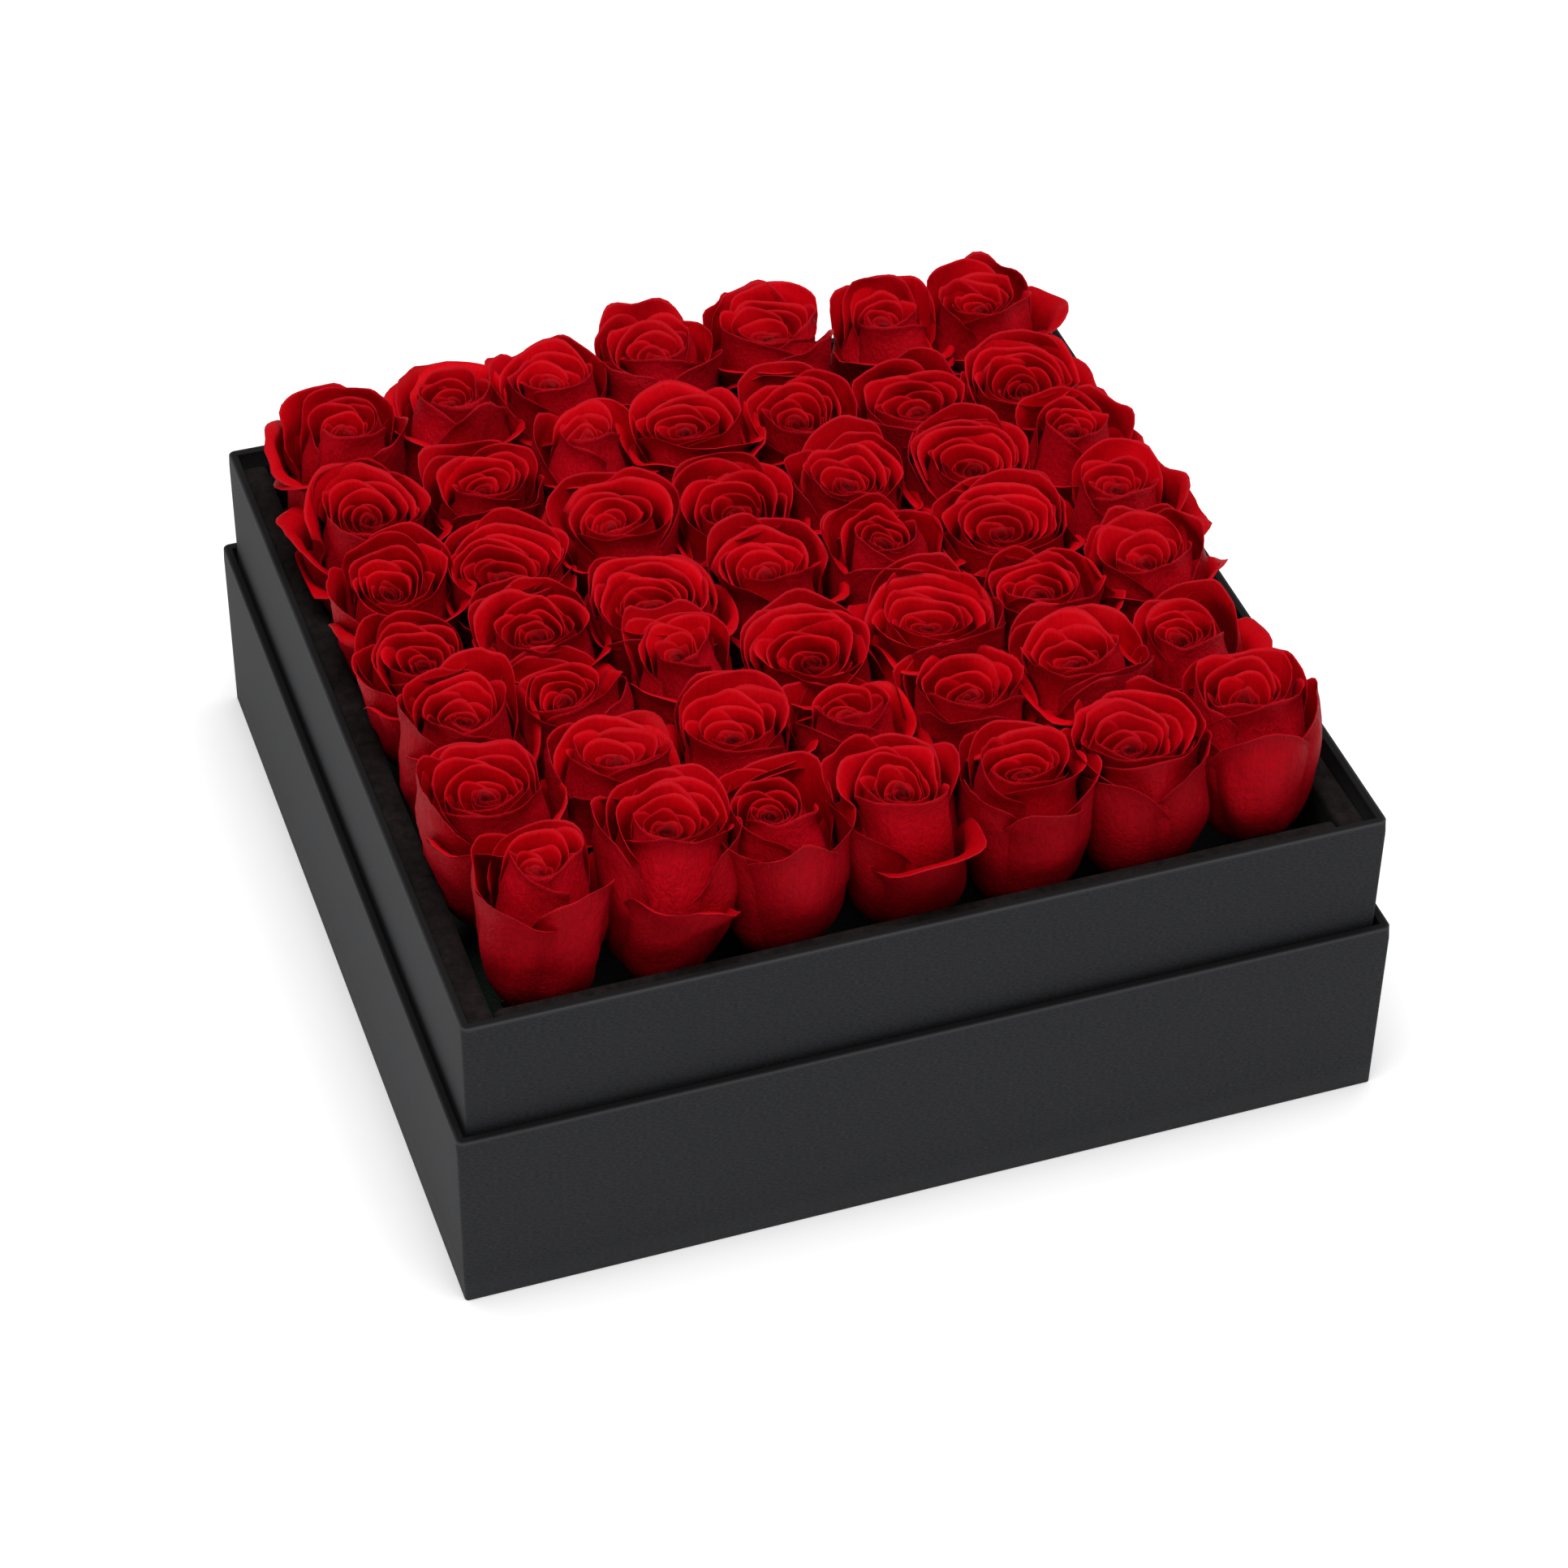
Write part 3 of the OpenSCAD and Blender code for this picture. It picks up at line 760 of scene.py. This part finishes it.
def latheSurface(section, segments, start):
    # a profile of (radius, height) turned round the axis, closed by a point at each end
    angle = np.linspace(0, math.tau, segments, endpoint=False)
    section = np.array(section, float)
    ring = np.stack([section[1:-1, :1] * np.cos(angle), section[1:-1, :1] * np.sin(angle),
                     section[1:-1, 1:] + 0 * angle], -1)
    rows = len(ring)
    points = np.concatenate([ring.reshape(-1, 3), [[0, 0, section[0, 1]], [0, 0, section[-1, 1]]]])
    g = np.arange(rows * segments).reshape(rows, segments) + start
    n = np.roll(g, -1, 1)
    quads = np.stack([g[:-1], n[:-1], n[1:], g[1:]], -1).reshape(-1, 4)
    first, last = start + rows * segments, start + rows * segments + 1
    low = np.stack([n[0], g[0], np.full(segments, first)], -1)
    high = np.stack([g[-1], n[-1], np.full(segments, last)], -1)
    return points, quads, np.concatenate([low, high])


roseNodes = {(row + 1, col + 1): "rose_%d_%d" % (row + 1, col + 1)
             for row in range(len(kindPlan)) for col in range(len(kindPlan[row]))}
roseBoxes = {key: [np.array(corner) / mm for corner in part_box(node)] for key, node in roseNodes.items()}
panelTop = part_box("side_linings")[1][2] / mm
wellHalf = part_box("end_linings")[1][0] / mm + packing["panelPlay"]


def leanOf(key):
    return np.array([leanRight[key[0] - 1][key[1] - 1], leanBack[key[0] - 1][key[1] - 1]], float)


def standOf(key):
    # the middle of the underside of a head, on top of its stem
    low, high = roseBoxes[key]
    return np.array([*((low[:2] + high[:2]) / 2), high[2] - rose["headHeight"]])


def bloomCentre(key):
    # the middle of a head where it is widest, and its radius
    low, high = roseBoxes[key]
    return standOf(key)[:2] + leanOf(key) * 0.5, (high[0] - low[0]) / 2


def pressBack(points, direction, limit, give):
    # what passes the plane at limit along direction is pushed back, all but the share give
    over = np.maximum(points[:, :2] @ direction - limit, 0)
    return points[:, :2] - np.outer(over * (1 - give), direction)


def drift(points, rnd):
    # Nature's unevenness: a smooth field moves every point of a head, so that petals keep their distances.
    # The field is a sum of waves amount * sin(point . direction * 2 pi / wavelength + phase), and it grows
    # evenly from nothing at the base of the head to all of it at driftHeight.
    moved = points.copy()
    for count, wavelength, amount in packing["drift"]:
        for _ in range(count):
            direction = rnd.normal(size=3)
            direction *= math.tau / wavelength / rnd.uniform(0.75, 1.3) / np.linalg.norm(direction)
            push = rnd.normal(size=3) * (1, 1, 0.7)
            push *= amount / np.linalg.norm(push)
            moved += np.outer(np.sin(points @ direction + rnd.uniform(0, math.tau)), push)
    share = np.clip(points[:, 2] / packing["driftHeight"], 0, 1)[:, None]
    return points * (1 - share) + moved * share


def leanOver(points, lean):
    # tiltShare of the lean is a tilt of the whole head, and the rest carries the bloom over level as the
    # share of the height to the power leanBend
    amount = np.linalg.norm(lean)
    if amount == 0:
        return points
    axis = lean / amount
    tilt = math.atan(packing["tiltShare"] * amount / rose["headHeight"])
    share = np.clip(points[:, 2] / rose["headHeight"], 0, 1.2)
    level = (1 - packing["tiltShare"]) * amount * share ** packing["leanBend"]
    along = points[:, :2] @ axis
    turned = along * math.cos(tilt) + points[:, 2] * math.sin(tilt) + level
    z = points[:, 2] * math.cos(tilt) - along * math.sin(tilt)
    return np.column_stack([points[:, :2] + np.outer(turned - along, axis), z])


def settle(points, key):
    # Leans a head over about its base, moves it to its place, and presses it against its neighbours and
    # the velvet. Low down the heads are firm, and towards their rims the petals lie over each other.
    points = leanOver(points, leanOf(key)) + standOf(key)
    centre, radius = bloomCentre(key)
    height = (points[:, 2] - standOf(key)[2]) / rose["headHeight"]
    firm = packing["firmShare"]
    give = blend(packing["give"], np.clip((height - firm) / (1 - firm), 0, 1))
    for other in [(key[0] + row, key[1] + col) for row in (-1, 0, 1) for col in (-1, 0, 1)]:
        if other == key or other not in roseNodes:
            continue
        there, otherRadius = bloomCentre(other)
        gap = np.linalg.norm(there - centre)
        direction = (there - centre) / gap
        limit = centre @ direction + gap * radius / (radius + otherRadius)
        points[:, :2] = pressBack(points, direction, limit, give)
    # above the panels the petals may hang out over the velvet
    overhang = np.clip(points[:, 2] - panelTop, 0, packing["overhangHeight"]) * packing["overhang"]
    limit = wellHalf - packing["wallGap"] + overhang
    for direction in ((1, 0), (-1, 0), (0, 1), (0, -1)):
        points[:, :2] = pressBack(points, np.array(direction, float), limit, packing["wallGive"])
    return points


def growRose(key):
    # Petals, sepals, calyx and stem as one piece. All are made with the base of the head at the origin, then
    # drift and settle move them together.
    low, high = roseBoxes[key]
    rnd = np.random.default_rng(1000 * key[0] + key[1])
    kind = rose["kinds"][kindPlan[key[0] - 1][key[1] - 1]]
    petals = rosePetals(kind, high[0] - low[0], guardPlan.get(key, "").split(), rnd)
    petalPoints, petalQuads, data, uvs = leafMesh(petals, 0)
    sepals = [(p, 0, 0) for p in roseSepals(rnd)]
    sepalPoints, sepalQuads = leafMesh(sepals, len(petalPoints))[:2]
    start = len(petalPoints) + len(sepalPoints)
    radius, foot = stem["diameter"] / 2, low[2] - standOf(key)[2]
    section = [(0, foot), (radius, foot), (radius, foot * 0.5)]
    section += [(radius * share, z) for share, z in stem["neck"]] + list(stem["calyx"])
    stemPoints, stemQuads, stemCaps = latheSurface(section, stem["sides"], start)
    grown = drift(np.concatenate([petalPoints, sepalPoints, stemPoints]), rnd)
    # the stem stays upright in the foam, and only its top follows the head
    stay = np.clip(-grown[:, 2] / stem["bendLength"], 0, 1)[:, None]
    stay[:start] = 0
    moved = settle(grown, key) * (1 - stay) + (grown + standOf(key)) * stay
    blank = len(grown) - len(petalPoints)
    data = np.concatenate([data, np.zeros((blank, 4))])
    uvs = np.concatenate([uvs, np.zeros((blank, 2))])
    greenQuads = np.concatenate([sepalQuads, stemQuads])
    slots = np.repeat([0, 1], [len(petalQuads), len(greenQuads) + len(stemCaps)])
    piece = meshObject("rose_%d_%d_bloom" % key, moved * mm, [petalQuads, greenQuads, stemCaps],
                       [petalSkin, roseGreen], slots, pointData=data, uvs=uvs)
    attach(piece, "insert")
    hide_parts(roseNodes[key])


for key in roseNodes:
    growRose(key)
print("roses made")
